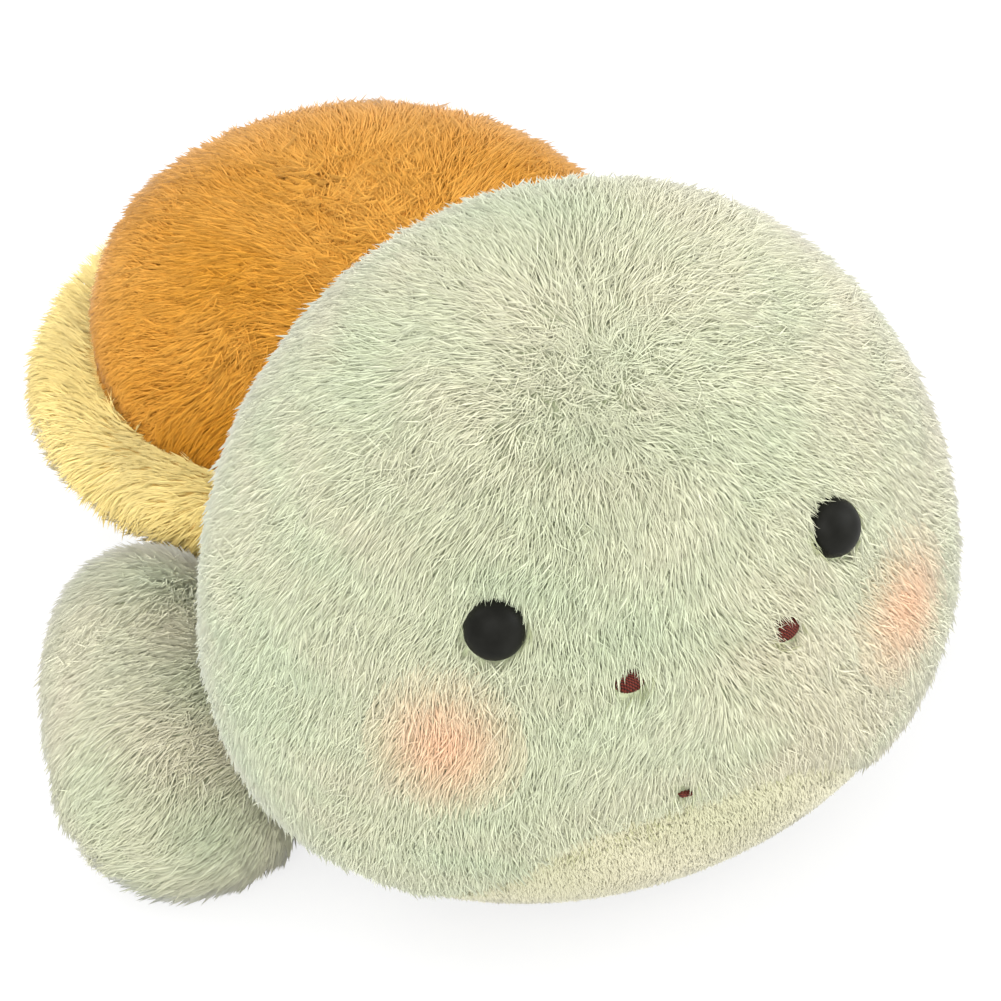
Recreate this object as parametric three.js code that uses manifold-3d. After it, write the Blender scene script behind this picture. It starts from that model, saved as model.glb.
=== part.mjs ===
// A plush turtle that lies on its belly: a big round head, a domed shell with a rolled rim,
// two front legs, two hind feet and a tail. Each is a cloth skin round its own stuffing.
// Millimetres, +Z up. The turtle faces -Y, and its own left side is +X. The origin lies on the
// floor, in the middle of the belly's flat underside.
import * as THREE from 'three';
import { mergeVertices } from 'three/addons/utils/BufferGeometryUtils.js';
import Module from 'manifold-3d';

const wasm = await Module();
wasm.setup();

// Cloth, thread and clearance
const clothThickness = 1.4;
const clearance = 0.3;
const threadDiameter = 0.9;

// Head, a bun that is wider low down and cut flat where it lies
const headHalfWidth = 68;
const headHalfDepth = 51;
const headHalfHeight = 64;
const headRestDepth = 0.5;
const headFullness = 2.18;
const headSag = 0.13;
const headToShell = 126;

// Eyes, each a domed head on a shank that a lock washer holds inside the cloth
const eyeSpacing = 61;
const eyeHeight = 79;
const eyeDiameter = 10.5;
const eyeDome = 3.8;
const eyeEdge = 0.9;
const shankDiameter = 3;
const shankLength = 9;
const washerDiameter = 11;
const washerThickness = 1.5;

// Nostrils and mouth, sewn a little to the turtle's left of the middle
const noseShift = 3.8;
const nostrilSpacing = 28.8;
const nostrilHeight = 66;
const nostrilWidth = 4.6;
const nostrilTall = 3.6;
const nostrilRaise = 0.9;
const mouthWidth = 17;
const mouthHeight = 42.5;
const mouthDip = 4;

// Chin panel, let into the front of the head skin below the mouth
const chinTop = 37.5;
const chinHalfWidth = 45;
const chinSideHeight = 14;
const chinBack = 10;

// Shell, with heights above the floor at the shell's middle
const shellHalfWidth = 69.8;
const shellHalfLength = 66.8;
const rimInset = 13;
const rimBottom = 34;
const rimTop = 49;
const domeHeight = 32;
const domeFullness = 2.1;
const bellyHalfWidth = 40;
const bellyCurve = 1.3;
const shellLean = 0.14;

// Neck band
const neckDiameter = 46;
const neckHeight = 32;

// Front legs. The shoulder is a ball, set in from the shell's side edge and back from its front edge.
// Then come [out from the shoulder, ahead of it, half width, half height], from there to the paw
const shoulderInset = 17.8;
const shoulderSetback = 29.8;
const shoulderHeight = 14.5;
const shoulderRadius = 13.5;
const frontLeg = [
  [11.5, 6.5, 15.5, 17],
  [15, 17, 17.5, 21],
  [19, 29, 19, 21.5],
  [21, 41, 20.5, 19],
  [21, 53, 23, 17.5],
  [20.5, 64, 21.5, 13.5],
  [20, 72.5, 15, 8.5],
];
const frontLegTip = [20, 78.5];

// The left front leg is sewn further back than the right one, and lies turned in beside the head
const leftLegSetback = 4;
const leftLegTurn = 8;

// How deep a limb is cut flat where it lies on the floor, and the hole that it is stuffed through
const restDepth = 0.5;
const openingRadius = 3.5;

// Hind feet, in the same form, with the hip in from the side edge and forward of the back edge
const hipInset = 35.8;
const hipSetback = 23.8;
const hipHeight = 11.5;
const hipRadius = 10.5;
const hindLeg = [
  [5, -8, 12, 11.5],
  [9, -16, 12.5, 11],
  [11.5, -23, 10, 9],
  [13, -27.5, 6, 6],
];
const hindLegTip = [13.6, -29.5];

// Tail, in the same form, clear of the floor
const tailSetback = 16.8;
const tailHeight = 11;
const tailRadius = 7;
const tail = [
  [0, -8, 6.4, 6.2],
  [0, -16, 5.2, 5],
  [0, -23, 3.6, 3.4],
];
const tailTip = [0, -27.5];
const tailDrop = 0.12;

// How finely the round forms are stepped
const bodySteps = 24;
const headRows = 11;
const domeRows = 5;
const rimRows = 4;
const bellyRows = 3;
const limbSides = 12;
const ballRows = 2;
const smallSteps = 16;

const verticalAxis = new THREE.Vector3(0, 0, 1);

// Solids for the cuts and joins

function toSolid(geometry) {
  const bare = new THREE.BufferGeometry();
  bare.setAttribute('position', geometry.getAttribute('position').clone());
  if (geometry.index) bare.setIndex(geometry.index.clone());
  const welded = mergeVertices(bare, 1e-4);
  const index = welded.index.array;
  const triangles = [];
  for (let i = 0; i < index.length; i += 3) {
    const [a, b, c] = [index[i], index[i + 1], index[i + 2]];
    if (a !== b && b !== c && c !== a) triangles.push(a, b, c);
  }
  const mesh = new wasm.Mesh({
    numProp: 3,
    vertProperties: new Float32Array(welded.getAttribute('position').array),
    triVerts: new Uint32Array(triangles),
  });
  return new wasm.Manifold(mesh);
}

function toGeometry(solid) {
  const mesh = solid.getMesh();
  const geometry = new THREE.BufferGeometry();
  geometry.setAttribute('position', new THREE.BufferAttribute(mesh.vertProperties, 3));
  geometry.setIndex(new THREE.BufferAttribute(mesh.triVerts, 1));
  geometry.computeVertexNormals();
  return geometry;
}

function cutAway(solid, cutters) {
  return cutters.reduce((left, cutter) => left.subtract(cutter), solid);
}

// Profiles are lists of [radius, height] from the bottom up, and turn about the vertical axis

function offsetProfile(profile, inset) {
  return profile.map(([radius, height], i) => {
    const before = profile[Math.max(i - 1, 0)];
    const after = profile[Math.min(i + 1, profile.length - 1)];
    const first = new THREE.Vector2(radius - before[0], height - before[1]);
    const second = new THREE.Vector2(after[0] - radius, after[1] - height);
    if (i === 0) first.copy(second);
    if (i === profile.length - 1) second.copy(first);
    const inwardA = new THREE.Vector2(-first.y, first.x).normalize();
    const inwardB = new THREE.Vector2(-second.y, second.x).normalize();
    const inward = inwardA.clone().add(inwardB).normalize();
    const reach = inset / inward.dot(inwardA);
    const onAxis = radius === 0;
    return onAxis
      ? [0, height + inset * Math.sign(inwardA.y + inwardB.y)]
      : [radius + inward.x * reach, height + inward.y * reach];
  });
}

function turned(profile, depthShare, steps = bodySteps) {
  const points = profile.map(([radius, height]) => new THREE.Vector2(radius, height));
  const geometry = new THREE.LatheGeometry(points, steps);
  geometry.rotateX(Math.PI / 2);
  geometry.scale(1, depthShare, 1);
  return geometry;
}

// Head
const headCentreHeight = headHalfHeight - headRestDepth;

function headRadiusShare(height) {
  const rise = (height - headCentreHeight) / headHalfHeight;
  const round = Math.pow(1 - Math.pow(Math.abs(rise), headFullness), 1 / headFullness);
  return round * (1 - headSag * rise);
}

function headProfile() {
  const power = 2 / headFullness;
  const lowest = -Math.asin(Math.pow(headCentreHeight / headHalfHeight, 1 / power));
  const profile = [[0, 0]];
  for (let row = 0; row < headRows; row++) {
    const angle = lowest + ((Math.PI / 2 - lowest) * row) / headRows;
    const rise = Math.sign(angle) * Math.pow(Math.abs(Math.sin(angle)), power);
    const height = row === 0 ? 0 : headCentreHeight + headHalfHeight * rise;
    profile.push([headHalfWidth * headRadiusShare(height), height]);
  }
  profile.push([0, headCentreHeight + headHalfHeight]);
  return profile;
}

function headForm(inset) {
  const depthShare = (headHalfDepth - inset) / (headHalfWidth - inset);
  const geometry = turned(offsetProfile(headProfile(), inset), depthShare);
  return toSolid(geometry.translate(0, -headToShell, 0));
}

// The place on the front of the head's cloth at x and height, and the way out of the cloth there
function headSeat(cloth, x, height, proud) {
  const start = new THREE.Vector3(x, -headToShell - 2 * headHalfDepth, height);
  const ray = new THREE.Raycaster(start, new THREE.Vector3(0, 1, 0));
  const { point, face } = ray.intersectObject(cloth)[0];
  return { point: point.addScaledVector(face.normal, proud), normal: face.normal };
}

function place(object, seat) {
  object.position.copy(seat.point);
  object.quaternion.setFromUnitVectors(verticalAxis, seat.normal);
  return object;
}

function placedSolid(geometry, seat) {
  const marker = place(new THREE.Object3D(), seat);
  marker.updateMatrix();
  return toSolid(geometry.clone().applyMatrix4(marker.matrix));
}

// A plain rod along its own Z, for holes and pockets
function rod(radius, from, to) {
  const geometry = new THREE.CylinderGeometry(radius, radius, to - from, smallSteps);
  return geometry.rotateX(Math.PI / 2).translate(0, 0, (from + to) / 2);
}

function chinBlock(grow) {
  const halfWidth = chinHalfWidth + grow;
  const outline = new THREE.Shape();
  outline.moveTo(-halfWidth, -chinSideHeight);
  outline.lineTo(halfWidth, -chinSideHeight);
  outline.lineTo(halfWidth, chinSideHeight + grow);
  const shoulderX = halfWidth / 2;
  outline.bezierCurveTo(shoulderX, chinTop + grow, shoulderX, chinTop + grow, 0, chinTop + grow);
  outline.bezierCurveTo(
    -shoulderX, chinTop + grow, -shoulderX, chinTop + grow, -halfWidth, chinSideHeight + grow,
  );
  const depth = 2 * headHalfDepth;
  const geometry = new THREE.ExtrudeGeometry(outline, { depth, bevelEnabled: false, curveSegments: 4 });
  geometry.rotateX(Math.PI / 2);
  geometry.translate(0, -headToShell - chinBack + grow, 0);
  return toSolid(geometry);
}

function neckRod(radius) {
  const geometry = new THREE.CylinderGeometry(radius, radius, headToShell, limbSides);
  return toSolid(geometry.translate(0, -headToShell / 2, neckHeight));
}

// Shell and belly

function shellProfile() {
  const belly = [];
  const rimStart = shellHalfWidth - rimInset;
  for (let row = 0; row <= bellyRows; row++) {
    const rise = row / bellyRows;
    const spread = 1 - Math.pow(1 - rise, bellyCurve);
    belly.push([bellyHalfWidth + (rimStart - bellyHalfWidth) * spread, rimBottom * rise]);
  }
  const rim = [];
  const middle = (rimBottom + rimTop) / 2;
  for (let row = 1; row < rimRows; row++) {
    const angle = -Math.PI / 2 + (Math.PI * row) / rimRows;
    const height = middle + ((rimTop - rimBottom) / 2) * Math.sin(angle);
    rim.push([rimStart + rimInset * Math.cos(angle), height]);
  }
  const dome = [];
  const power = 2 / domeFullness;
  for (let row = 0; row < domeRows; row++) {
    const angle = (Math.PI / 2) * (row / domeRows);
    const height = rimTop + domeHeight * Math.pow(Math.sin(angle), power);
    dome.push([rimStart * Math.pow(Math.cos(angle), power), height]);
  }
  return { belly, rim, dome, top: [0, rimTop + domeHeight] };
}

// The shell leans, its back higher than its front, and the belly under it evens that out to the floor
function leanShell(geometry) {
  const position = geometry.getAttribute('position');
  for (let i = 0; i < position.count; i++) {
    const share = Math.min(Math.max(position.getZ(i) / rimBottom, 0), 1);
    position.setZ(i, position.getZ(i) + shellLean * share * position.getY(i));
  }
  return geometry;
}

function shellForm(inset) {
  const { belly, rim, dome, top } = shellProfile();
  const profile = offsetProfile([[0, 0], ...belly, ...rim, ...dome, top], inset);
  const depthShare = (shellHalfLength - inset) / (shellHalfWidth - inset);
  return toSolid(leanShell(turned(profile, depthShare)));
}

// The whole cloth wall of the shell and belly, and a block for the heights that one panel takes
function heightBlock(from, to) {
  const reach = 2.5 * shellHalfWidth;
  const geometry = new THREE.BoxGeometry(reach, reach, to - from, 1, 1, 1);
  geometry.translate(0, 0, (from + to) / 2);
  const position = geometry.getAttribute('position');
  for (let i = 0; i < position.count; i++) {
    position.setZ(i, position.getZ(i) + shellLean * position.getY(i));
  }
  return toSolid(geometry);
}

// Limbs and tail, swept through upright oval rings with a ball at the root

function limbRings({ root, stations, tip, side, drop }, inset) {
  const path = [[0, 0, root.radius, root.radius], ...stations];
  const spot = (out, ahead, height) =>
    new THREE.Vector3(side * (root.out + out), -(root.ahead + ahead), height);
  const places = path.map(([out, ahead, , tall], i) => {
    const height = i === 0 ? root.height : tall - restDepth;
    return spot(out, ahead, drop ? root.height * (1 - drop * i) : height);
  });
  const last = places[places.length - 1];
  const end = spot(...tip, last.z);
  const ways = places.map((place, i) => {
    const next = places[i + 1] ?? end;
    const before = places[i - 1] ?? place;
    return next.clone().sub(before).setZ(0).normalize();
  });
  const rings = [];
  const radius = root.radius - inset;
  for (let row = 1; row < ballRows; row++) {
    const angle = ((Math.PI / 2) * row) / ballRows;
    const centre = places[0].clone().addScaledVector(ways[0], -radius * Math.cos(angle));
    rings.push({ centre, way: ways[0], wide: radius * Math.sin(angle), tall: radius * Math.sin(angle) });
  }
  path.forEach(([, , wide, tall], i) => {
    rings.push({ centre: places[i], way: ways[i], wide: wide - inset, tall: tall - inset });
  });
  const start = places[0].clone().addScaledVector(ways[0], -radius);
  const inward = last.clone().sub(end).normalize();
  return { start, rings, end: end.addScaledVector(inward, inset) };
}

function limbForm(limb, inset) {
  const { start, rings, end } = limbRings(limb, inset);
  const corners = [start];
  rings.forEach(({ centre, way, wide, tall }) => {
    const across = new THREE.Vector3().crossVectors(way, verticalAxis).normalize();
    for (let i = 0; i < limbSides; i++) {
      const angle = (2 * Math.PI * (i + 0.5)) / limbSides;
      const corner = centre.clone().addScaledVector(across, wide * Math.cos(angle));
      corner.z = Math.max(corner.z + tall * Math.sin(angle), inset);
      corners.push(corner);
    }
  });
  corners.push(end);
  const faces = [];
  const lastCorner = corners.length - 1;
  for (let i = 0; i < limbSides; i++) {
    const next = (i + 1) % limbSides;
    faces.push(0, 1 + i, 1 + next);
    for (let ring = 0; ring < rings.length - 1; ring++) {
      const here = 1 + ring * limbSides;
      const there = here + limbSides;
      faces.push(here + i, there + next, here + next, here + i, there + i, there + next);
    }
    const lastRing = 1 + (rings.length - 1) * limbSides;
    faces.push(lastRing + i, lastCorner, lastRing + next);
  }
  const geometry = new THREE.BufferGeometry().setFromPoints(corners);
  geometry.setIndex(faces);
  const ballX = limb.side * limb.root.out;
  const ballY = -limb.root.ahead;
  geometry.translate(-ballX, -ballY, 0);
  geometry.rotateZ(THREE.MathUtils.degToRad(limb.turn));
  return toSolid(geometry.translate(ballX, ballY, 0));
}

// The socket that a limb's root sits in, with its flats clear of a ball of the root's radius
function rootSocket(root, side) {
  const radius = (root.radius + clearance) / Math.cos(Math.PI / limbSides) ** 2;
  const geometry = new THREE.SphereGeometry(radius, limbSides, limbSides / 2);
  return toSolid(geometry.translate(side * root.out, -root.ahead, root.height));
}

// The opening in a limb's skin, on the side that is sewn to the belly
function rootOpening(root, side) {
  const centre = new THREE.Vector3(side * root.out, -root.ahead, root.height);
  const normal = new THREE.Vector3(-centre.x, -centre.y, 0).normalize();
  return placedSolid(rod(openingRadius, 0, root.radius + clearance), { point: centre, normal });
}

// Materials
const finish = (color, roughness) => new THREE.MeshStandardMaterial({ color, roughness, metalness: 0 });
const greenPlush = finish(0xcfd4b4, 0.95);
const chinPlush = finish(0xe0dcc4, 0.95);
const shellPlush = finish(0xcb9549, 0.95);
const rimPlush = finish(0xf5d68b, 0.95);
const whiteStuffing = finish(0xf4f3ee, 1);
const eyePlastic = finish(0x2b2b26, 0.4);
const washerPlastic = finish(0xe8e8e4, 0.5);
const brownThread = finish(0x4a1f18, 0.7);

const turtle = new THREE.Group();

function addPiece(name, geometry, material, parent = turtle) {
  const piece = new THREE.Mesh(geometry, material);
  piece.name = name;
  parent.add(piece);
  return piece;
}

const sides = [['right', -1], ['left', 1]];
const stuffingInset = clothThickness + clearance;

// Head skin, chin panel and stuffing
const headOuter = headForm(0);
const headCloth = new THREE.Mesh(toGeometry(headOuter));
const eyeSeats = sides.map(([, side]) =>
  headSeat(headCloth, (side * eyeSpacing) / 2, eyeHeight, clearance));
const shankHoles = eyeSeats.map((seat) =>
  placedSolid(rod(shankDiameter / 2 + clearance, -shankLength - clearance, eyeEdge), seat));
const washerPockets = eyeSeats.map((seat) =>
  placedSolid(rod(washerDiameter / 2 + clearance, -shankLength - clearance, eyeEdge), seat));
const headWall = headOuter.subtract(headForm(clothThickness));
const openHeadWall = cutAway(headWall, [neckRod(neckDiameter / 2), ...shankHoles]);
addPiece('head_skin', toGeometry(openHeadWall.subtract(chinBlock(clearance))), greenPlush);
addPiece('chin_skin', toGeometry(openHeadWall.intersect(chinBlock(0))), chinPlush);
addPiece('head_stuffing', toGeometry(cutAway(headForm(stuffingInset), washerPockets)), whiteStuffing);

// Eyes and their lock washers
const eyeProfile = [
  [0, -shankLength],
  [shankDiameter / 2, -shankLength],
  [shankDiameter / 2, 0],
  [eyeDiameter / 2, 0],
  [eyeDiameter / 2, eyeEdge],
  [eyeDiameter * 0.46, eyeEdge + eyeDome * 0.4],
  [eyeDiameter * 0.35, eyeEdge + eyeDome * 0.7],
  [eyeDiameter * 0.19, eyeEdge + eyeDome * 0.92],
  [0, eyeEdge + eyeDome],
];
const washerBore = shankDiameter / 2 + clearance;
const clothFold = (washerDiameter / 2) * Math.sin((2 * Math.PI) / bodySteps);
const washerTop = -(clothThickness + clothFold + 2 * clearance);
const washerProfile = [
  [washerBore, washerTop - washerThickness],
  [washerDiameter / 2, washerTop - washerThickness],
  [washerDiameter / 2, washerTop],
  [washerBore, washerTop],
  [washerBore, washerTop - washerThickness],
];
sides.forEach(([name], i) => {
  const fitting = place(new THREE.Group(), eyeSeats[i]);
  addPiece(`eye_${name}`, turned(eyeProfile, 1, smallSteps), eyePlastic, fitting);
  addPiece(`eye_washer_${name}`, turned(washerProfile, 1, smallSteps), washerPlastic, fitting);
  turtle.add(fitting);
});

// Nostrils, a small raised pad of satin stitch each
const nostrilProfile = [
  [0, 0],
  [nostrilWidth / 2, 0],
  [nostrilWidth * 0.4, nostrilRaise * 0.7],
  [nostrilWidth * 0.22, nostrilRaise * 0.94],
  [0, nostrilRaise],
];
sides.forEach(([name, side]) => {
  const seat = headSeat(headCloth, noseShift + (side * nostrilSpacing) / 2, nostrilHeight, clearance);
  const pad = turned(nostrilProfile, nostrilTall / nostrilWidth, smallSteps);
  place(addPiece(`nostril_${name}`, pad, brownThread), seat);
});

// Mouth, one line of thick thread that lies on the cloth
const mouthSpots = [-1, -0.5, 0, 0.5, 1].map((share) => {
  const height = mouthHeight - mouthDip * (1 - share ** 2);
  const proud = threadDiameter / 2 + clearance;
  return headSeat(headCloth, noseShift + (share * mouthWidth) / 2, height, proud).point;
});
const threadOutline = new THREE.Shape();
threadOutline.absarc(0, 0, threadDiameter / 2, 0, 2 * Math.PI);
const mouthLine = new THREE.ExtrudeGeometry(threadOutline, {
  extrudePath: new THREE.CatmullRomCurve3(mouthSpots),
  steps: 12,
  curveSegments: 4,
  bevelEnabled: false,
});
addPiece('mouth_stitch', mouthLine, brownThread);

// Shell, rim, belly and their stuffing, with holes where the limbs and tail are sewn in
const shoulder = {
  out: shellHalfWidth - shoulderInset,
  ahead: shellHalfLength - shoulderSetback,
  height: shoulderHeight,
  radius: shoulderRadius,
};
const leftShoulder = { ...shoulder, ahead: shoulder.ahead - leftLegSetback };
const hip = {
  out: shellHalfWidth - hipInset,
  ahead: hipSetback - shellHalfLength,
  height: hipHeight,
  radius: hipRadius,
};
const tailRoot = { out: 0, ahead: tailSetback - shellHalfLength, height: tailHeight, radius: tailRadius };
const frontForm = { stations: frontLeg, tip: frontLegTip, drop: 0 };
const hindForm = { root: hip, stations: hindLeg, tip: hindLegTip, turn: 0, drop: 0 };
const limbs = [
  { name: 'front_leg_right', side: -1, root: shoulder, turn: 0, ...frontForm },
  { name: 'front_leg_left', side: 1, root: leftShoulder, turn: -leftLegTurn, ...frontForm },
  { name: 'hind_leg_right', side: -1, ...hindForm },
  { name: 'hind_leg_left', side: 1, ...hindForm },
  { name: 'tail', side: 1, root: tailRoot, stations: tail, tip: tailTip, turn: 0, drop: tailDrop },
];
const sockets = limbs.map(({ root, side }) => rootSocket(root, side));
const shellOuter = shellForm(0);
const shellWall = cutAway(shellOuter.subtract(shellForm(clothThickness)), sockets);
const seam = clearance / 2;
const above = 2 * (rimTop + domeHeight);
addPiece('shell_top', toGeometry(shellWall.intersect(heightBlock(rimTop + seam, above))), shellPlush);
addPiece(
  'shell_rim', toGeometry(shellWall.intersect(heightBlock(rimBottom + seam, rimTop - seam))), rimPlush,
);
addPiece('belly_skin', toGeometry(shellWall.intersect(heightBlock(-above, rimBottom - seam))), greenPlush);
addPiece('body_stuffing', toGeometry(cutAway(shellForm(stuffingInset), sockets)), whiteStuffing);

// Neck band and its stuffing, between the back of the head and the front of the body
const neckSpace = [headForm(-clearance), shellForm(-clearance)];
const neckRadius = neckDiameter / 2;
const neckBand = neckRod(neckRadius).subtract(neckRod(neckRadius - clothThickness));
addPiece('neck_band', toGeometry(cutAway(neckBand, neckSpace)), greenPlush);
addPiece('neck_stuffing', toGeometry(cutAway(neckRod(neckRadius - stuffingInset), neckSpace)), whiteStuffing);

// Legs and tail
limbs.forEach((limb) => {
  const wall = limbForm(limb, 0).subtract(limbForm(limb, clothThickness));
  const skin = wall.subtract(rootOpening(limb.root, limb.side));
  addPiece(`${limb.name}_skin`, toGeometry(skin), greenPlush);
  addPiece(`${limb.name}_stuffing`, toGeometry(limbForm(limb, stuffingInset)), whiteStuffing);
});

export default turtle;
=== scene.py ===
import math
import bpy
import numpy as np
from mathutils import Matrix, Vector
from mathutils.bvhtree import BVHTree
from mathutils.kdtree import KDTree


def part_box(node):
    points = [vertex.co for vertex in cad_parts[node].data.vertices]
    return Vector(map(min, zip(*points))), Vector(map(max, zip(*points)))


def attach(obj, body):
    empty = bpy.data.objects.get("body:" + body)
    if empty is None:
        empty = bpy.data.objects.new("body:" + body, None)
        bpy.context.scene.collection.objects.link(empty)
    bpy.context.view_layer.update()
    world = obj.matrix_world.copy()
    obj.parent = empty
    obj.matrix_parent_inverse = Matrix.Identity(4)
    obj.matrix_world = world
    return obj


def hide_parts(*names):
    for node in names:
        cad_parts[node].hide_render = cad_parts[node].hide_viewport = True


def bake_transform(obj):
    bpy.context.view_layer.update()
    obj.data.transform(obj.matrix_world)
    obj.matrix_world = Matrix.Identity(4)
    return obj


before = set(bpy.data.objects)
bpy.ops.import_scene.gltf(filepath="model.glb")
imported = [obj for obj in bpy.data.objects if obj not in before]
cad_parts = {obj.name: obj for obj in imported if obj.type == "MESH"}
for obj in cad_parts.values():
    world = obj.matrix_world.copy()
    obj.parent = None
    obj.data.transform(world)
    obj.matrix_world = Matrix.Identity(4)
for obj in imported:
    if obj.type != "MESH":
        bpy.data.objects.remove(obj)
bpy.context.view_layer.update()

# A plush turtle that lies on its belly. It faces -Y, its own left side is +X, and the floor is at 0.
# Sizes in the dictionaries are millimetres, angles are degrees and colours are linear.
mm = 0.001
up = np.array([0.0, 0.0, 1.0])

cloth = dict(thickness=1.4, seam=0.3)
head = dict(fullness=2.18, sag=0.13, restDepth=0.5, rows=44, steps=120)
chin = dict(top=37.5, halfWidth=45, sideHeight=14, back=10)
shell = dict(rimInset=13, rimBottom=34, rimTop=49, fullness=2.1, lean=0.14, bellyHalfWidth=40,
             bellyCurve=1.3, rows=20, steps=112)


# Small tools

def pick(*objects):
    bpy.ops.object.select_all(action="DESELECT")
    for ob in objects:
        ob.select_set(True)
    bpy.context.view_layer.objects.active = objects[0]


def editAll(ob, *steps):
    pick(ob)
    bpy.ops.object.mode_set(mode="EDIT")
    bpy.ops.mesh.select_all(action="SELECT")
    for step in steps:
        step()
    bpy.ops.object.mode_set(mode="OBJECT")


def applyAll(ob):
    pick(ob)
    for modifier in list(ob.modifiers):
        bpy.ops.object.modifier_apply(modifier=modifier.name)


def newObject(name, mesh):
    ob = bpy.data.objects.new(name, mesh)
    bpy.context.scene.collection.objects.link(ob)
    return ob


def pointsOf(mesh, what="co"):
    found = np.empty(len(mesh.vertices) * 3)
    mesh.vertices.foreach_get(what, found)
    return found.reshape(-1, 3)


def movePoints(ob, points):
    ob.data.vertices.foreach_set("co", points.ravel())
    ob.data.update()


def unit(vectors):
    return vectors / np.maximum(np.linalg.norm(vectors, axis=-1, keepdims=True), 1e-12)


def dot(a, b):
    return (a * b).sum(-1, keepdims=True)


def along(vectors, normals):
    return unit(vectors - normals * dot(vectors, normals))


def smooth(value, low, high):
    share = np.clip((value - low) / (high - low), 0, 1)
    return share * share * (3 - 2 * share)


# A smooth wavy field, each wave about size millimetres long
def ripple(points, size, seed):
    draw = np.random.default_rng(seed)
    total = np.zeros_like(points)
    for _ in range(5):
        waves = unit(draw.normal(size=(3, 3))) * (2 * math.pi / (size * mm)) * draw.uniform(0.6, 1.6)
        total += np.sin(points @ waves.T + draw.uniform(0, 2 * math.pi, 3))
    return total / 2.2


# Forms, each the outer face of a stuffed part

# The spin leaves its faces in an order that changes from run to run, so they are put in order
def sortFaces(mesh):
    faces = []
    for face in mesh.polygons:
        corners = list(face.vertices)
        first = corners.index(min(corners))
        faces.append(corners[first:] + corners[:first])
    points = pointsOf(mesh).tolist()
    mesh.clear_geometry()
    mesh.from_pydata(points, [], sorted(faces))


def turnedForm(name, profile, steps, depthShare, centre):
    mesh = bpy.data.meshes.new(name)
    edges = [(i, i + 1) for i in range(len(profile) - 1)]
    mesh.from_pydata([(radius, 0, height) for radius, height in profile], edges, [])
    ob = newObject(name, mesh)
    editAll(
        ob,
        lambda: bpy.ops.mesh.spin(steps=steps, angle=2 * math.pi, center=(0, 0, 0), axis=(0, 0, 1)),
        lambda: bpy.ops.mesh.select_all(action="SELECT"),
        lambda: bpy.ops.mesh.remove_doubles(threshold=1e-6),
        lambda: bpy.ops.mesh.normals_make_consistent(inside=False),
    )
    sortFaces(ob.data)
    pick(ob)
    bpy.ops.object.shade_smooth()
    movePoints(ob, pointsOf(ob.data) * (1, depthShare, 1) + centre)
    return ob


def headForm():
    low, high = map(np.array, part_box("head_skin"))
    halfHeight = (high[2] + head["restDepth"] * mm) / 2
    centreHeight = high[2] - halfHeight
    power = 2 / head["fullness"]
    rises = np.linspace(-1, 1, 801)
    bulge = (1 - np.abs(rises) ** head["fullness"]) ** (1 / head["fullness"])
    widest = (bulge * (1 - head["sag"] * rises)).max()
    halfWidth = (high[0] - low[0]) / 2 / widest
    lowest = -math.asin((centreHeight / halfHeight) ** (1 / power))
    profile = [(0, 0)]
    for row in range(head["rows"]):
        angle = lowest + (math.pi / 2 - lowest) * row / head["rows"]
        rise = math.copysign(abs(math.sin(angle)) ** power, angle)
        radius = math.cos(angle) ** power * (1 - head["sag"] * rise)
        profile.append((halfWidth * radius, max(centreHeight + halfHeight * rise, 0)))
    profile.append((0, high[2]))
    middle = (low[1] + high[1]) / 2
    depthShare = (high[1] - low[1]) / (high[0] - low[0])
    return turnedForm("head_form", profile, head["steps"], depthShare, (0, middle, 0))


def shellForm():
    low, high = map(np.array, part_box("shell_rim"))
    halfWidth = (high[0] - low[0]) / 2
    inner = halfWidth - shell["rimInset"] * mm
    bottom, top = shell["rimBottom"] * mm, shell["rimTop"] * mm
    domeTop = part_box("shell_top")[1][2]
    belly = shell["bellyHalfWidth"] * mm
    rows = shell["rows"]
    profile = [(0, 0)]
    for rise in np.linspace(0, 1, rows):
        spread = 1 - (1 - rise) ** shell["bellyCurve"]
        profile.append((belly + (inner - belly) * spread, bottom * rise))
    for angle in np.linspace(-math.pi / 2, math.pi / 2, rows)[1:-1]:
        height = (bottom + top) / 2 + (top - bottom) / 2 * math.sin(angle)
        profile.append((inner + shell["rimInset"] * mm * math.cos(angle), height))
    power = 2 / shell["fullness"]
    for angle in np.linspace(0, math.pi / 2, rows)[:-1]:
        profile.append((inner * math.cos(angle) ** power, top + (domeTop - top) * math.sin(angle) ** power))
    profile.append((0, domeTop))
    depthShare = (high[1] - low[1]) / (high[0] - low[0])
    ob = turnedForm("shell_form", profile, shell["steps"], depthShare, (0, 0, 0))
    points = pointsOf(ob.data)
    points[:, 2] += shell["lean"] * np.clip(points[:, 2] / bottom, 0, 1) * points[:, 1]
    movePoints(ob, points)
    return ob


# A limb's form: its stuffing, remeshed, rounded, brought out to the cloth and puffed up as cloth
puffing = dict(voxel=3.0, rounding=8, clearance=0.5, swell=0.9, cap=1.0, pressure=3000, lastFrame=20)


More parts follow.
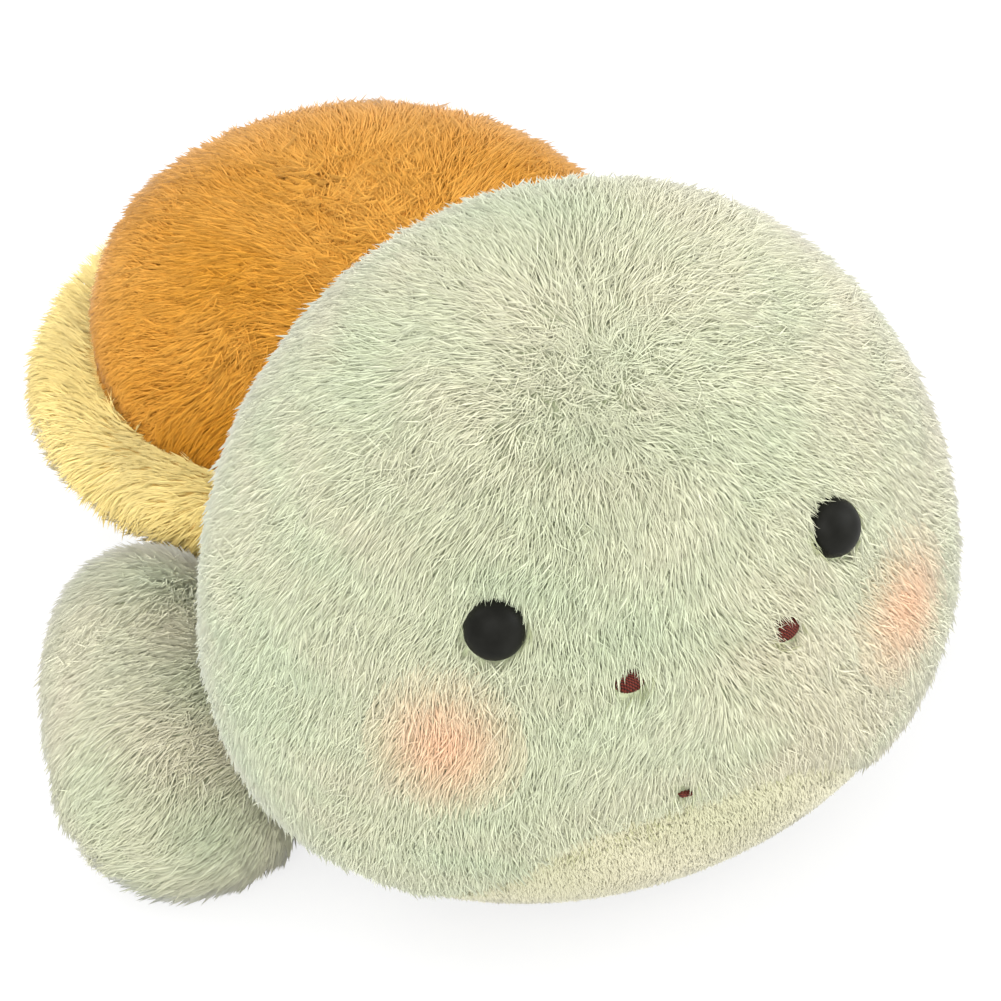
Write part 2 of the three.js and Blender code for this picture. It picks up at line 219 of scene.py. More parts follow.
def stuffedForm(name, node):
    ob = newObject(name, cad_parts[node].data.copy())
    ob.data.materials.clear()
    editAll(ob, lambda: bpy.ops.mesh.remove_doubles(threshold=1e-5))
    remesh = ob.modifiers.new("remesh", "REMESH")
    remesh.mode, remesh.voxel_size = "VOXEL", puffing["voxel"] * mm
    rounding = ob.modifiers.new("rounding", "SMOOTH")
    rounding.iterations = puffing["rounding"]
    out = ob.modifiers.new("out", "DISPLACE")
    outBy = cloth["thickness"] + cloth["seam"] + puffing["clearance"] - puffing["swell"]
    out.mid_level, out.strength = 0, outBy * mm
    applyAll(ob)
    swell(ob)
    finer = ob.modifiers.new("finer", "SUBSURF")
    finer.levels = finer.render_levels = 1
    applyAll(ob)
    points = pointsOf(ob.data)
    points[:, 2] = np.maximum(points[:, 2], 0)
    movePoints(ob, points)
    pick(ob)
    bpy.ops.object.shade_smooth()
    return ob


# The cloth's own movement, capped, and then brought out or in so that it grows by the swell on average
def swell(ob):
    before = pointsOf(ob.data)
    puff = ob.modifiers.new("puff", "CLOTH")
    puff.settings.use_pressure = True
    puff.settings.uniform_pressure_force = puffing["pressure"]
    puff.settings.effector_weights.gravity = 0
    for number in range(1, puffing["lastFrame"] + 1):
        bpy.context.scene.frame_set(number)
    shown = ob.evaluated_get(bpy.context.evaluated_depsgraph_get())
    moved = pointsOf(shown.data) - before
    ob.modifiers.remove(puff)
    bpy.context.scene.frame_set(1)
    far = np.linalg.norm(moved, axis=1, keepdims=True)
    moved = moved * np.minimum(1, puffing["cap"] * mm / np.maximum(far, 1e-9))
    facing = pointsOf(ob.data, "normal")
    movePoints(ob, before + moved + facing * (puffing["swell"] * mm - dot(moved, facing).mean()))


# Pile: thousands of fine strands. Each is a slim closed blade with a root, two shoulders where it
# bends, and a tip
strandFaces = np.array([[0, 2, 1], [0, 1, 3], [1, 2, 3], [2, 0, 3]])
strandShape = dict(bendAt=0.45, liftSpread=0.12, flattest=0.03, steepest=1.5, ruffleSize=6, bendPull=0.4,
                   rootDepth=0.4, thinnest=0.7, thickest=1.3, overFloor=0.1, roundness=0.12)
tones = dict(blush=8, warm=8, shade=4)
columns = tones["blush"] * tones["warm"] * tones["shade"]
# Where the piles and the cloth behind them lie on the UV square
pileRows = dict(low=0.26, tall=0.72, middle=0.5, left=0.1, right=0.9)
clothRows = dict(low=0.02, wide=0.96, tall=0.1)


def growPile(form, pile, comb, seed, amount=None, trim=None):
    draw = np.random.default_rng(seed)
    mesh = form.data
    mesh.calc_loop_triangles()
    corners = np.empty(len(mesh.loop_triangles) * 3, int)
    mesh.loop_triangles.foreach_get("vertices", corners)
    corners = corners.reshape(-1, 3)
    places, facing = pointsOf(mesh)[corners], pointsOf(mesh, "normal")[corners]
    area = np.linalg.norm(np.cross(places[:, 1] - places[:, 0], places[:, 2] - places[:, 0]), axis=1)
    if amount:
        area = area * amount(places.mean(1), unit(facing.mean(1)))
    total = np.cumsum(area)
    count = pile["strands"]
    hit = np.searchsorted(total, (np.arange(count) + draw.random(count)) / count * total[-1])
    a, b = np.sqrt(draw.random(count)), draw.random(count)
    share = np.stack([1 - a, a * (1 - b), a * b], 1)[:, :, None]
    root = (places[hit] * share).sum(1)
    normal = unit((facing[hit] * share).sum(1))
    way = along(comb(root, normal), normal)
    way = way + ripple(root, pile["swirlSize"], seed) * pile["swirl"]
    way = way + ripple(root, strandShape["ruffleSize"], seed + 1) * pile["ruffle"]
    way = along(way + draw.normal(size=root.shape) * pile["stray"], normal)
    length = pile["length"] * mm * draw.uniform(1 - pile["uneven"], 1 + pile["uneven"], (count, 1))
    lift = np.radians([pile["lift"], pile["tipLift"]])[None, :]
    lift = lift + draw.normal(size=(count, 2)) * strandShape["liftSpread"]
    if trim:
        share, lifting = trim(root, normal)
        length = length * share[:, None]
        lift = lift + lifting[:, None] * (np.pi / 2 - lift)
    lift = np.clip(lift, strandShape["flattest"], strandShape["steepest"])[:, :, None]
    bendAt = strandShape["bendAt"]
    bend = root + (normal * np.sin(lift[:, 0]) + way * np.cos(lift[:, 0])) * length * bendAt
    tip = bend + (normal * np.sin(lift[:, 1]) + way * np.cos(lift[:, 1])) * length * (1 - bendAt)
    lead = draw.permutation(count)[: max(count // pile["perClump"], 1)]
    tree = KDTree(len(lead))
    for i, place in enumerate(root[lead]):
        tree.insert(place, i)
    tree.balance()
    near = lead[np.array([tree.find(place)[1] for place in root])]
    pull = pile["clump"] * draw.uniform(0.3, 1, (count, 1)) * draw.uniform(0.3, 1, count)[near][:, None]
    tip = tip + (tip[near] - tip) * pull
    bend = bend + (bend[near] - bend) * pull * strandShape["bendPull"]
    root = root - normal * strandShape["rootDepth"] * mm
    spread = draw.uniform(strandShape["thinnest"], strandShape["thickest"], count)
    thick = pile["thickness"] / 2 * mm * spread
    return dict(root=root, bend=bend, tip=tip, normal=normal, thick=thick, shade=draw.random(count))


def keep(strands, wanted):
    return {name: values[wanted] for name, values in strands.items()}


# A window is a round place that the pile leaves clear: nothing is rooted in its bare middle, strands that
# reach over it end within its bite, and those that head into it from its own edge are cropped
cropping = dict(reach=12, stub=0.3, shortest=0.12, biteCurve=1.5)


def openWindow(strands, centre, normal, window, seed, parted=(0, 0, 0)):
    draw = np.random.default_rng(seed)
    radius = window["radius"] * mm
    flat = lambda points: points - centre - normal * ((points - centre) @ normal)[:, None]
    start, end = flat(strands["root"]), flat(strands["tip"])
    near = np.abs((strands["root"] - centre) @ normal) < cropping["reach"] * mm
    inside = near & (np.linalg.norm(start, axis=1) < window["bare"] * mm)
    aside = np.array(parted) * mm
    start, step = start - aside, end - start
    bites = window["bite"] * draw.random(len(start)) ** cropping["biteCurve"]
    allowed = (window["radius"] - bites) * mm
    a, b = (step * step).sum(1), 2 * (start * step).sum(1)
    c = (start * start).sum(1) - allowed ** 2
    left = b * b - 4 * a * c
    share = (-b - np.sqrt(np.maximum(left, 0))) / (2 * np.maximum(a, 1e-12))
    cut = near & (left > 0) & (share > 0) & (share < 1)
    cropped = near & (np.linalg.norm(start, axis=1) < radius) & (b < 0)
    scale = np.where(cut, share, 1)
    scale = np.where(cropped, np.minimum(scale, cropping["stub"]), scale)[:, None]
    for part in ("bend", "tip"):
        strands[part] = strands["root"] + (strands[part] - strands["root"]) * scale
    return keep(strands, ~inside & (scale[:, 0] > cropping["shortest"]))


# Leaves out the strands that would stand inside another form
def clearOf(strands, forms, depth=0.3, reach=1.0, margin=2):
    wanted = np.ones(len(strands["root"]), bool)
    for form in forms:
        tree = BVHTree.FromObject(form, bpy.context.evaluated_depsgraph_get())
        low, high = pointsOf(form.data).min(0) - margin * mm, pointsOf(form.data).max(0) + margin * mm
        spots = strands["root"] + strands["normal"] * reach * mm
        near = wanted & ((spots > low) & (spots < high)).all(1)
        for i in np.flatnonzero(near):
            place, facing, _, far = tree.find_nearest(spots[i])
            if (Vector(spots[i]) - place).dot(facing) < depth * mm:
                wanted[i] = False
    return keep(strands, wanted)


def strandMesh(name, strands, paint):
    count = len(strands["root"])
    root, bend, tip, normal = (strands[part] for part in ("root", "bend", "tip", "normal"))
    side = unit(np.cross(tip - root, normal)) * strands["thick"][:, None]
    turned = dot(np.cross(bend - side - root, bend + side - root), tip - root) < 0
    side = np.where(turned, -side, side)
    points = np.stack([root, bend - side, bend + side, tip], 1)
    points[:, :, 2] = np.maximum(points[:, :, 2], strandShape["overFloor"] * mm)
    mesh = bpy.data.meshes.new(name)
    mesh.vertices.add(count * 4)
    mesh.vertices.foreach_set("co", points.ravel())
    faces = (np.arange(count) * 4)[:, None, None] + strandFaces
    mesh.loops.add(count * 12)
    mesh.loops.foreach_set("vertex_index", faces.ravel().astype(np.int32))
    mesh.polygons.add(count * 4)
    mesh.polygons.foreach_set("loop_start", np.arange(0, count * 12, 3, dtype=np.int32))
    mesh.update(calc_edges=True)
    levels, column = {}, np.zeros(count)
    found = paint(bend * 0.5 + tip * 0.5)
    # The shade tone holds each strand's random darkness times the painted shadow that the paint gives
    found["shade"] = (0.25 + 0.75 * strands["shade"]) * (1 - found.get("shadow", 0))
    for tone, steps in tones.items():
        level = np.minimum((np.clip(found[tone], 0, 1) * steps).astype(int), steps - 1)
        levels[tone] = np.repeat(level / (steps - 1), 4)
        column = column * steps + level
    place = np.array([0, strandShape["bendAt"], strandShape["bendAt"], 1])
    levels["reach"] = np.tile(place, count)
    for tone, values in levels.items():
        mesh.attributes.new(tone, "FLOAT", "POINT").data.foreach_set("value", values.astype(np.float32))
    corners = [pileRows[edge] for edge in ("middle", "left", "right", "middle")]
    across = (column[:, None] + corners) / columns
    height = np.broadcast_to(pileRows["low"] + place * pileRows["tall"], across.shape)
    spots = np.stack([across, height], 2).reshape(-1, 2)
    layer = mesh.uv_layers.new(name="OFBake")
    layer.uv.foreach_set("vector", spots[faces.ravel()].astype(np.float32).ravel())
    outward = unit(side) * strandShape["roundness"]
    facing = unit(np.stack([normal, normal - outward, normal + outward, normal], 1))
    return mesh, facing.reshape(-1, 3)


def dress(name, skin, strands, paint, backing, plush):
    mesh, facing = strandMesh(name, strands, paint)
    piece = newObject(name, mesh)
    mesh.materials.append(plush)
    skin.data.materials.clear()
    skin.data.materials.append(backing)
    points = pointsOf(skin.data)
    share = (points - points.min(0)) / np.ptp(points, axis=0)
    low, wide, tall = (clothRows[part] for part in ("low", "wide", "tall"))
    height = low + tall * share[:, 2] + tall * (share[:, 1] > 0.5)
    spots = np.stack([low + wide * share[:, 0], height], 1)
    layer = skin.data.uv_layers.get("OFBake") or skin.data.uv_layers.new(name="OFBake")
    corners = np.empty(len(skin.data.loops), np.int32)
    skin.data.loops.foreach_get("vertex_index", corners)
    layer.uv.foreach_set("vector", spots[corners].astype(np.float32).ravel())
    pick(piece, skin)
    bpy.ops.object.join()
    mesh.polygons.foreach_set("use_smooth", np.ones(len(mesh.polygons), bool))
    whole = np.zeros((len(mesh.vertices), 3))
    whole[: len(facing)] = facing
    mesh.normals_split_custom_set_from_vertices(whole)
    print("pile", name, len(strands["root"]), "strands,", len(mesh.polygons), "faces")
    return piece


# Materials

def newMaterial(name, roughness, specular=0.3):
    material = bpy.data.materials.new(name)
    material.use_nodes = True
    tree = material.node_tree
    shader = tree.nodes["Principled BSDF"]
    shader.inputs["Roughness"].default_value = roughness
    shader.inputs["Specular IOR Level"].default_value = specular
    return material, tree, shader


def node(tree, kind, **settings):
    made = tree.nodes.new(kind)
    for name, value in settings.items():
        setattr(made, name, value)
    return made


def mixColours(tree, share, first, second, way="MIX"):
    mix = node(tree, "ShaderNodeMix", data_type="RGBA", blend_type=way)
    for socket, value in ((0, share), (6, first), (7, second)):
        if isinstance(value, bpy.types.NodeSocket):
            tree.links.new(value, mix.inputs[socket])
        else:
            mix.inputs[socket].default_value = value if socket == 0 else (*value, 1)
    return mix.outputs[2]


def attribute(tree, name):
    return node(tree, "ShaderNodeAttribute", attribute_name=name).outputs["Fac"]


def ramp(tree, value, *stops):
    made = node(tree, "ShaderNodeValToRGB")
    made.color_ramp.elements[0].position, made.color_ramp.elements[-1].position = stops[0][0], stops[-1][0]
    for place, _ in stops[1:-1]:
        made.color_ramp.elements.new(place)
    for element, (_, colour) in zip(made.color_ramp.elements, stops):
        element.color = (*colour, 1)
    tree.links.new(value, made.inputs[0])
    return made.outputs[0]


def srgb(*colour):
    return tuple(((c / 255 + 0.055) / 1.055) ** 2.4 if c > 10 else c / 255 / 12.92 for c in colour)


# Each strand is painted a little darker at its root and bend, as shade among the strands. Some strands are
# darker all along: some at random, and those in the hollows by the eyes, nostrils, mouth and chin seam as
# painted shadow (the first shade stop)
plushLook = dict(roughness=0.95, specular=0.1, sheenRoughness=0.4, blush=srgb(246, 198, 163),
                 paintedBendShade=(0.97, 0.98, 0.96),
                 shades=((0.0, (0.68, 0.7, 0.58)), (0.33, (0.93, 0.93, 0.91)), (1.0, (1.0, 1.0, 1.0))))


def plushMaterial(name, cool, warm, paintedRootShade, sheen):
    material, tree, shader = newMaterial(name, plushLook["roughness"], plushLook["specular"])
    base = mixColours(tree, attribute(tree, "warm"), cool, warm)
    base = mixColours(tree, attribute(tree, "blush"), base, plushLook["blush"])
    reach = (0.0, paintedRootShade), (strandShape["bendAt"], plushLook["paintedBendShade"]), (1.0, (1.0, 1.0, 1.0))
    for name, stops in (("reach", reach), ("shade", plushLook["shades"])):
        base = mixColours(tree, 1.0, base, ramp(tree, attribute(tree, name), *stops), "MULTIPLY")
    tree.links.new(base, shader.inputs["Base Color"])
    shader.inputs["Sheen Weight"].default_value = sheen
    shader.inputs["Sheen Roughness"].default_value = plushLook["sheenRoughness"]
    return material


# The knitted cloth that the pile stands in
def backingMaterial(name, dark, light):
    material, tree, shader = newMaterial(name, 1.0, 0.1)
    knit = node(tree, "ShaderNodeTexVoronoi")
    knit.inputs["Scale"].default_value = 900
    tree.links.new(node(tree, "ShaderNodeTexCoord").outputs["Object"], knit.inputs["Vector"])
    loops = ramp(tree, knit.outputs["Distance"], (0.0, light), (0.6, dark))
    tree.links.new(loops, shader.inputs["Base Color"])
    return material


def noiseOf(tree, scale, detail=3):
    noise = node(tree, "ShaderNodeTexNoise")
    noise.inputs["Scale"].default_value = scale
    noise.inputs["Detail"].default_value = detail
    tree.links.new(node(tree, "ShaderNodeTexCoord").outputs["Object"], noise.inputs["Vector"])
    return noise.outputs["Fac"]


def bump(tree, shader, height, strength, distance):
    made = node(tree, "ShaderNodeBump")
    made.inputs["Strength"].default_value = strength
    made.inputs["Distance"].default_value = distance
    tree.links.new(height, made.inputs["Height"])
    tree.links.new(made.outputs[0], shader.inputs["Normal"])


greenPlush = plushMaterial("green_plush_pile", srgb(203, 211, 182), srgb(218, 213, 188),
                           (0.96, 0.97, 0.93), 0.45)
chinPlush = plushMaterial("chin_plush_pile", srgb(202, 200, 168), srgb(214, 208, 180),
                          (0.95, 0.95, 0.92), 0.35)
shellPlush = plushMaterial("shell_plush_pile", srgb(214, 147, 48), srgb(228, 164, 72),
                           (0.85, 0.8, 0.65), 0.35)
rimPlush = plushMaterial("rim_plush_pile", srgb(254, 226, 144), srgb(254, 231, 160),
                         (0.95, 0.92, 0.8), 0.35)
greenBacking = backingMaterial("green_backing", srgb(190, 198, 162), srgb(202, 209, 176))
chinBacking = backingMaterial("chin_backing", srgb(198, 194, 164), srgb(212, 206, 178))
shellBacking = backingMaterial("shell_backing", srgb(188, 124, 40), srgb(204, 140, 52))
rimBacking = backingMaterial("rim_backing", srgb(222, 184, 108), srgb(234, 198, 124))

eyePlastic, eyeTree, eyeShader = newMaterial("black_eye", 0.42, 0.1)
spots = ramp(eyeTree, noiseOf(eyeTree, 260), (0.35, (0.006, 0.006, 0.0045)), (0.7, (0.011, 0.011, 0.009)))
eyeTree.links.new(spots, eyeShader.inputs["Base Color"])

washerPlastic, washerTree, washerShader = newMaterial("washer_white", 0.5, 0.4)
spots = ramp(washerTree, noiseOf(washerTree, 400), (0.3, srgb(222, 222, 216)), (0.7, srgb(236, 236, 232)))
washerTree.links.new(spots, washerShader.inputs["Base Color"])
bump(washerTree, washerShader, noiseOf(washerTree, 2500), 0.2, 0.0002)

threadBrown, threadTree, threadShader = newMaterial("brown_embroidery_thread", 0.65, 0.3)
wave = node(threadTree, "ShaderNodeTexWave", bands_direction="DIAGONAL")
wave.inputs["Scale"].default_value = 900
wave.inputs["Distortion"].default_value = 2
threadTree.links.new(node(threadTree, "ShaderNodeTexCoord").outputs["Object"], wave.inputs["Vector"])
spots = ramp(threadTree, wave.outputs["Fac"], (0.0, srgb(44, 15, 10)), (1.0, srgb(116, 44, 30)))
threadTree.links.new(spots, threadShader.inputs["Base Color"])
bump(threadTree, threadShader, wave.outputs["Fac"], 0.5, 0.0002)

fibreFill, fillTree, fillShader = newMaterial("polyester_fibre", 1.0, 0.1)
spots = ramp(fillTree, noiseOf(fillTree, 350, 6), (0.3, srgb(224, 222, 214)), (0.7, srgb(248, 247, 243)))
fillTree.links.new(spots, fillShader.inputs["Base Color"])
bump(fillTree, fillShader, noiseOf(fillTree, 700, 6), 0.8, 0.001)

# Camera, lights and floor
view = dict(azimuth=-18.5, elevation=32, roll=6.5, distance=600, target=(0, -126, 64), lens=120,
            shiftX=-0.078, shiftY=0.0346)


def placeCamera():
    azimuth, elevation, roll = (math.radians(view[k]) for k in ("azimuth", "elevation", "roll"))
    right = Vector((math.cos(azimuth), math.sin(azimuth), 0))
    back = Vector((math.sin(azimuth) * math.cos(elevation), -math.cos(azimuth) * math.cos(elevation),
                   math.sin(elevation)))
    top = back.cross(right)
    across = math.cos(roll) * right - math.sin(roll) * top
    above = math.sin(roll) * right + math.cos(roll) * top
    data = bpy.data.cameras.new("camera")
    data.lens, data.sensor_width = view["lens"], 36
    data.shift_x, data.shift_y = view["shiftX"], view["shiftY"]
    data.clip_start, data.clip_end = 0.01, 20
    camera = newObject("camera", data)
    place = Matrix((across, above, back)).transposed().to_4x4()
    place.translation = Vector(view["target"]) * mm + back * view["distance"] * mm
    camera.matrix_world = place
    bpy.context.scene.camera = camera


def addLamp(name, place, aim, size, power, colour):
    data = bpy.data.lights.new(name, "AREA")
    data.shape, data.size, data.energy, data.color = "DISK", size, power, colour
    lamp = newObject(name, data)
    lamp.location = place
    lamp.rotation_euler = (Vector(aim) - Vector(place)).to_track_quat("-Z", "Y").to_euler()


lighting = dict(sky=1.55, key=7.3, fill=6.3, back=4.7)
placeCamera()
addLamp("key_lamp", (-0.6, -1.15, 0.9), (0, -0.08, 0.05), 0.9, lighting["key"], (1.0, 0.985, 0.96))
addLamp("back_lamp", (-0.9, 0.8, 1.2), (0, -0.02, 0.05), 0.9, lighting["back"], (1.0, 1.0, 1.0))
addLamp("fill_lamp", (1.1, -0.75, 0.6), (0, -0.08, 0.05), 0.9, lighting["fill"], (0.97, 0.99, 1.0))


# 1 where the camera, a reflection or clear plastic sees the surface, and 0 for the light that it gives
def seenPlainly(tree):
    rays = node(tree, "ShaderNodeLightPath")
    total = rays.outputs["Is Camera Ray"]
    for kind in ("Is Glossy Ray", "Is Transmission Ray"):
        added = node(tree, "ShaderNodeMath", operation="ADD", use_clamp=True)
        tree.links.new(total, added.inputs[0])
        tree.links.new(rays.outputs[kind], added.inputs[1])
        total = added.outputs[0]
    return total


world = bpy.data.worlds.new("studio")
bpy.context.scene.world = world
world.use_nodes = True
tree = world.node_tree
tree.nodes.clear()
sky, white = node(tree, "ShaderNodeBackground"), node(tree, "ShaderNodeBackground")
sky.inputs["Strength"].default_value = lighting["sky"]
white.inputs["Color"].default_value = (1, 1, 1, 1)
sky.inputs["Color"].default_value = (1, 1, 1, 1)
choice = node(tree, "ShaderNodeMixShader")
tree.links.new(seenPlainly(tree), choice.inputs[0])
tree.links.new(sky.outputs[0], choice.inputs[1])
tree.links.new(white.outputs[0], choice.inputs[2])
tree.links.new(choice.outputs[0], node(tree, "ShaderNodeOutputWorld").inputs["Surface"])
bpy.context.scene.view_settings.view_transform = "Standard"

floorLook = dict(grey=0.9, glow=0.8, size=8)
floorPaint, tree, shader = newMaterial("floor_white", 0.9, 0.1)
shader.inputs["Base Color"].default_value = (*[floorLook["grey"]] * 3, 1)
part = node(tree, "ShaderNodeMath", operation="MULTIPLY")
part.inputs[1].default_value = floorLook["glow"]
tree.links.new(seenPlainly(tree), part.inputs[0])
glow = node(tree, "ShaderNodeEmission")
mix = node(tree, "ShaderNodeMixShader")
tree.links.new(part.outputs[0], mix.inputs[0])
tree.links.new(shader.outputs[0], mix.inputs[1])
tree.links.new(glow.outputs[0], mix.inputs[2])
tree.links.new(mix.outputs[0], tree.nodes["Material Output"].inputs["Surface"])
bpy.ops.mesh.primitive_plane_add(size=floorLook["size"], location=(0, 0, 0))
floor = bpy.context.object
floor.name = "floor"
floor.data.materials.append(floorPaint)
print("camera, lights and floor are in place")

# Forms
headOuter = headForm()
shellOuter = shellForm()
limbs = {name: stuffedForm(name + "_form", name + "_stuffing") for name in (
    "front_leg_right", "front_leg_left", "hind_leg_right", "hind_leg_left", "tail")}
neckOuter = stuffedForm("neck_form", "neck_stuffing")
headMiddle = pointsOf(headOuter.data).mean(0) * (0, 1, 0)
headTree = BVHTree.FromObject(headOuter, bpy.context.evaluated_depsgraph_get())
print("forms are made")


def walled(form, name):
    ob = newObject(name, form.data.copy())
    wall = ob.modifiers.new("wall", "SOLIDIFY")
    wall.thickness, wall.offset = cloth["thickness"] * mm, -1
    applyAll(ob)
    return ob


def cutWith(ob, block, operation):
    cut = ob.modifiers.new("cut", "BOOLEAN")
    cut.operation, cut.object, cut.solver = operation, block, "EXACT"
    applyAll(ob)
    return ob


# The outline of the chin panel, seen from the front
def chinHeight(x):
    t = np.linspace(0, 1, 40)
    wide, low, top = chin["halfWidth"], chin["sideHeight"], chin["top"]
    across = (1 - t) ** 3 * wide + 3 * (1 - t) * t * (wide / 2)
    height = (1 - t) ** 3 * low + (3 * (1 - t) * t + t ** 3) * top
    return np.interp(np.abs(x) / mm, across[::-1], height[::-1], right=-99) * mm


def onChin(points):
    return (points[:, 1] < headMiddle[1] - chin["back"] * mm) & (points[:, 2] < chinHeight(points[:, 0]))


def chinBlock():
    xs = np.linspace(-chin["halfWidth"], chin["halfWidth"], 41) * mm
    outline = [(xs[0], -0.01)] + list(zip(xs, chinHeight(xs * 0.9999))) + [(xs[-1], -0.01)]
    near, far = headMiddle[1] - chin["back"] * mm, headMiddle[1] - 0.1
    mesh = bpy.data.meshes.new("chin_block")
    count = len(outline)
    points = [(x, y, z) for y in (near, far) for x, z in outline]
    faces = [tuple(range(count)), tuple(range(2 * count - 1, count - 1, -1))]
    faces += [(i, i + count, (i + 1) % count + count, (i + 1) % count) for i in range(count)]
    mesh.from_pydata(points, [], faces)
    ob = newObject("chin_block", mesh)
    editAll(ob, lambda: bpy.ops.mesh.normals_make_consistent(inside=False))
    return ob


def slab(low, high):
    bpy.ops.mesh.primitive_cube_add(size=1, location=(0, 0, (low + high) / 2 * mm),
                                    scale=(0.4, 0.4, (high - low) * mm))
    ob = bpy.context.object
    bpy.ops.object.transform_apply(location=True, rotation=True, scale=True)
    points = pointsOf(ob.data)
    points[:, 2] += shell["lean"] * points[:, 1]
    movePoints(ob, points)
    return ob


def shellHeight(points):
    return points[:, 2] - shell["lean"] * points[:, 1]


block = chinBlock()
headWall = cutWith(walled(headOuter, "head_wall"), block, "DIFFERENCE")
chinWall = cutWith(walled(headOuter, "chin_wall"), block, "INTERSECT")
slabs = [slab(*heights) for heights in ((-40, shell["rimBottom"]), (shell["rimBottom"], shell["rimTop"]),
                                        (shell["rimTop"], 140))]
bellyWall, rimWall, domeWall = (
    cutWith(walled(shellOuter, name), piece, "INTERSECT")
    for name, piece in zip(("belly_wall", "rim_wall", "dome_wall"), slabs))
for extra in [block, *slabs]:
    bpy.data.objects.remove(extra)
print("panels are cut")

# Head pile
headPile = dict(strands=215000, length=5.6, uneven=0.35, lift=28, tipLift=8, swirlSize=24, swirl=0.22,
                ruffle=0.12, stray=0.3, perClump=8, clump=0.2, thickness=0.17)
headFlow = dict(down=0.65, muzzleReach=15, muzzle=0.9, whorlReach=13, tangleSize=6, tangle=0.7,
                knotSize=1.5, crown=0.9, crownReach=9)
headTint = dict(start=0.35, patchSize=45, patches=0.16, fleckSize=14, flecks=0.1, left=0.3, top=0.15,
                cream=0.5, creamRadius=26, blush=0.8, eyeShadow=0.9, nostrilShadow=0.8, mouthShadow=0.7)
whorl = headMiddle + np.array([-3, -34, 111]) * mm
muzzle = headMiddle + np.array([5, -50, 54]) * mm
creamPatch = np.array([24, -50, 44]) * mm
blushes = [(headMiddle + np.array(place) * mm, size * mm) for place, size in (
    ((-42.6, -43.0, 58.5), 10.5), ((46.0, -41.3, 56.5), 11.0))]


def nearness(points, centre, reach):
    return np.exp(-dot(points - centre, points - centre) / (2 * (reach * mm) ** 2))


def headComb(points, normals):
    nearMuzzle = nearness(points, muzzle, headFlow["muzzleReach"])
    nearWhorl = nearness(points, whorl, headFlow["whorlReach"])
    flow = unit(points - whorl) - up * headFlow["down"]
    flow = flow + unit((points - muzzle) * (1, 1, 0.6)) * nearMuzzle * headFlow["muzzle"]
    tangle = ripple(points, headFlow["tangleSize"], 3) * headFlow["tangle"]
    return flow + (tangle + ripple(points, headFlow["knotSize"], 4)) * nearWhorl


def headTrim(points, normals):
    fromWhorl = np.linalg.norm(points - whorl, axis=1)
    low = 0.5 + 0.5 * smooth(points[:, 2], 4 * mm, 34 * mm)
    front = points[:, 1] < headMiddle[1] - chin["back"] * mm
    overChin = np.where(front, points[:, 2] - chinHeight(points[:, 0]), 1)
    low = low * (0.25 + 0.75 * smooth(overChin, 1 * mm, 6 * mm))
    rims = [np.linalg.norm(points - front, axis=1) for front, _, _ in eyes.values()]
    byEye = np.exp(-((np.minimum(*rims) / (7.5 * mm)) ** 4))
    lifting = np.maximum(0.22 * (1 - smooth(fromWhorl, 2 * mm, 22 * mm)), 0.25 * byEye)
    return low * (0.7 + 0.3 * smooth(fromWhorl, 0, 25 * mm)), lifting


def headAmount(points, normals):
    back = smooth(points[:, 1], headMiddle[1] + 10 * mm, headMiddle[1] + 45 * mm)
    under = smooth(-normals[:, 2], 0.75, 0.95)
    crown = 1 + headFlow["crown"] * nearness(points, whorl, headFlow["crownReach"])[:, 0]
    return np.where(onChin(points), 0, (1 - 0.35 * back) * (1 - 0.7 * under) * crown)


def headPaint(points):
    blush = sum(np.exp(-((np.linalg.norm(points - place, axis=1) / size) ** 2)) for place, size in blushes)
    patches = ripple(points, headTint["patchSize"], 5)[:, 0] * headTint["patches"]
    patches = patches + ripple(points, headTint["fleckSize"], 6)[:, 0] * headTint["flecks"]
    far = np.linalg.norm(points - headMiddle - creamPatch, axis=1) / (headTint["creamRadius"] * mm)
    warm = headTint["start"] + patches + headTint["left"] * smooth(points[:, 0], 0, 60 * mm)
    warm = warm + headTint["top"] * smooth(points[:, 2], 80 * mm, 120 * mm)
    warm = warm + headTint["cream"] * np.exp(-(far ** 2))
    # Painted shadow in the hollows under the eyes, the nostrils and the mouth's end
    shadow = sum(paintedShadowBelow(points, front, 5.6) for front, _, _ in eyes.values()) * headTint["eyeShadow"]
    shadeUnderNostrils = sum(paintedShadowBelow(points, front, 2.9) for front, _, _ in nostrils.values())
    shadow = shadow + shadeUnderNostrils * headTint["nostrilShadow"]
    shadow = shadow + paintedShadowBelow(points, np.array(mouthEnd), 2.2) * headTint["mouthShadow"]
    return dict(blush=blush * headTint["blush"], warm=warm, shadow=np.clip(shadow, 0, 1))


# The hollow in the pile just under an eye, a nostril or the mouth's end, where the pile gets painted shadow
def paintedShadowBelow(points, centre, radius):
    step = points - centre
    ring = np.abs(np.linalg.norm(step, axis=1) - radius * mm)
    return (1 - smooth(ring, 0.6 * mm, 2.2 * mm)) * smooth(-step[:, 2], 0, 2 * mm)


# The front point, the axis and the length of a round CAD node
def seatOf(name):
    points = np.unique(pointsOf(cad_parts[name].data).round(7), axis=0)
    sizes, ways = np.linalg.eigh(np.cov((points - points.mean(0)).T))
    odd = 0 if sizes[1] - sizes[0] > sizes[2] - sizes[1] else 2
    axis = ways[:, odd] * (-1 if ways[1, odd] > 0 else 1)
    reach = points @ axis
    front = points[reach.argmax()]
    return front, axis, reach.max() - reach.min()


# Where a line from the front meets the head
def headSpot(x, height):
    start = Vector((x * mm, headMiddle[1] - 0.2, height * mm))
    place, facing, _, _ = headTree.ray_cast(start, Vector((0, 1, 0)))
    return place, facing


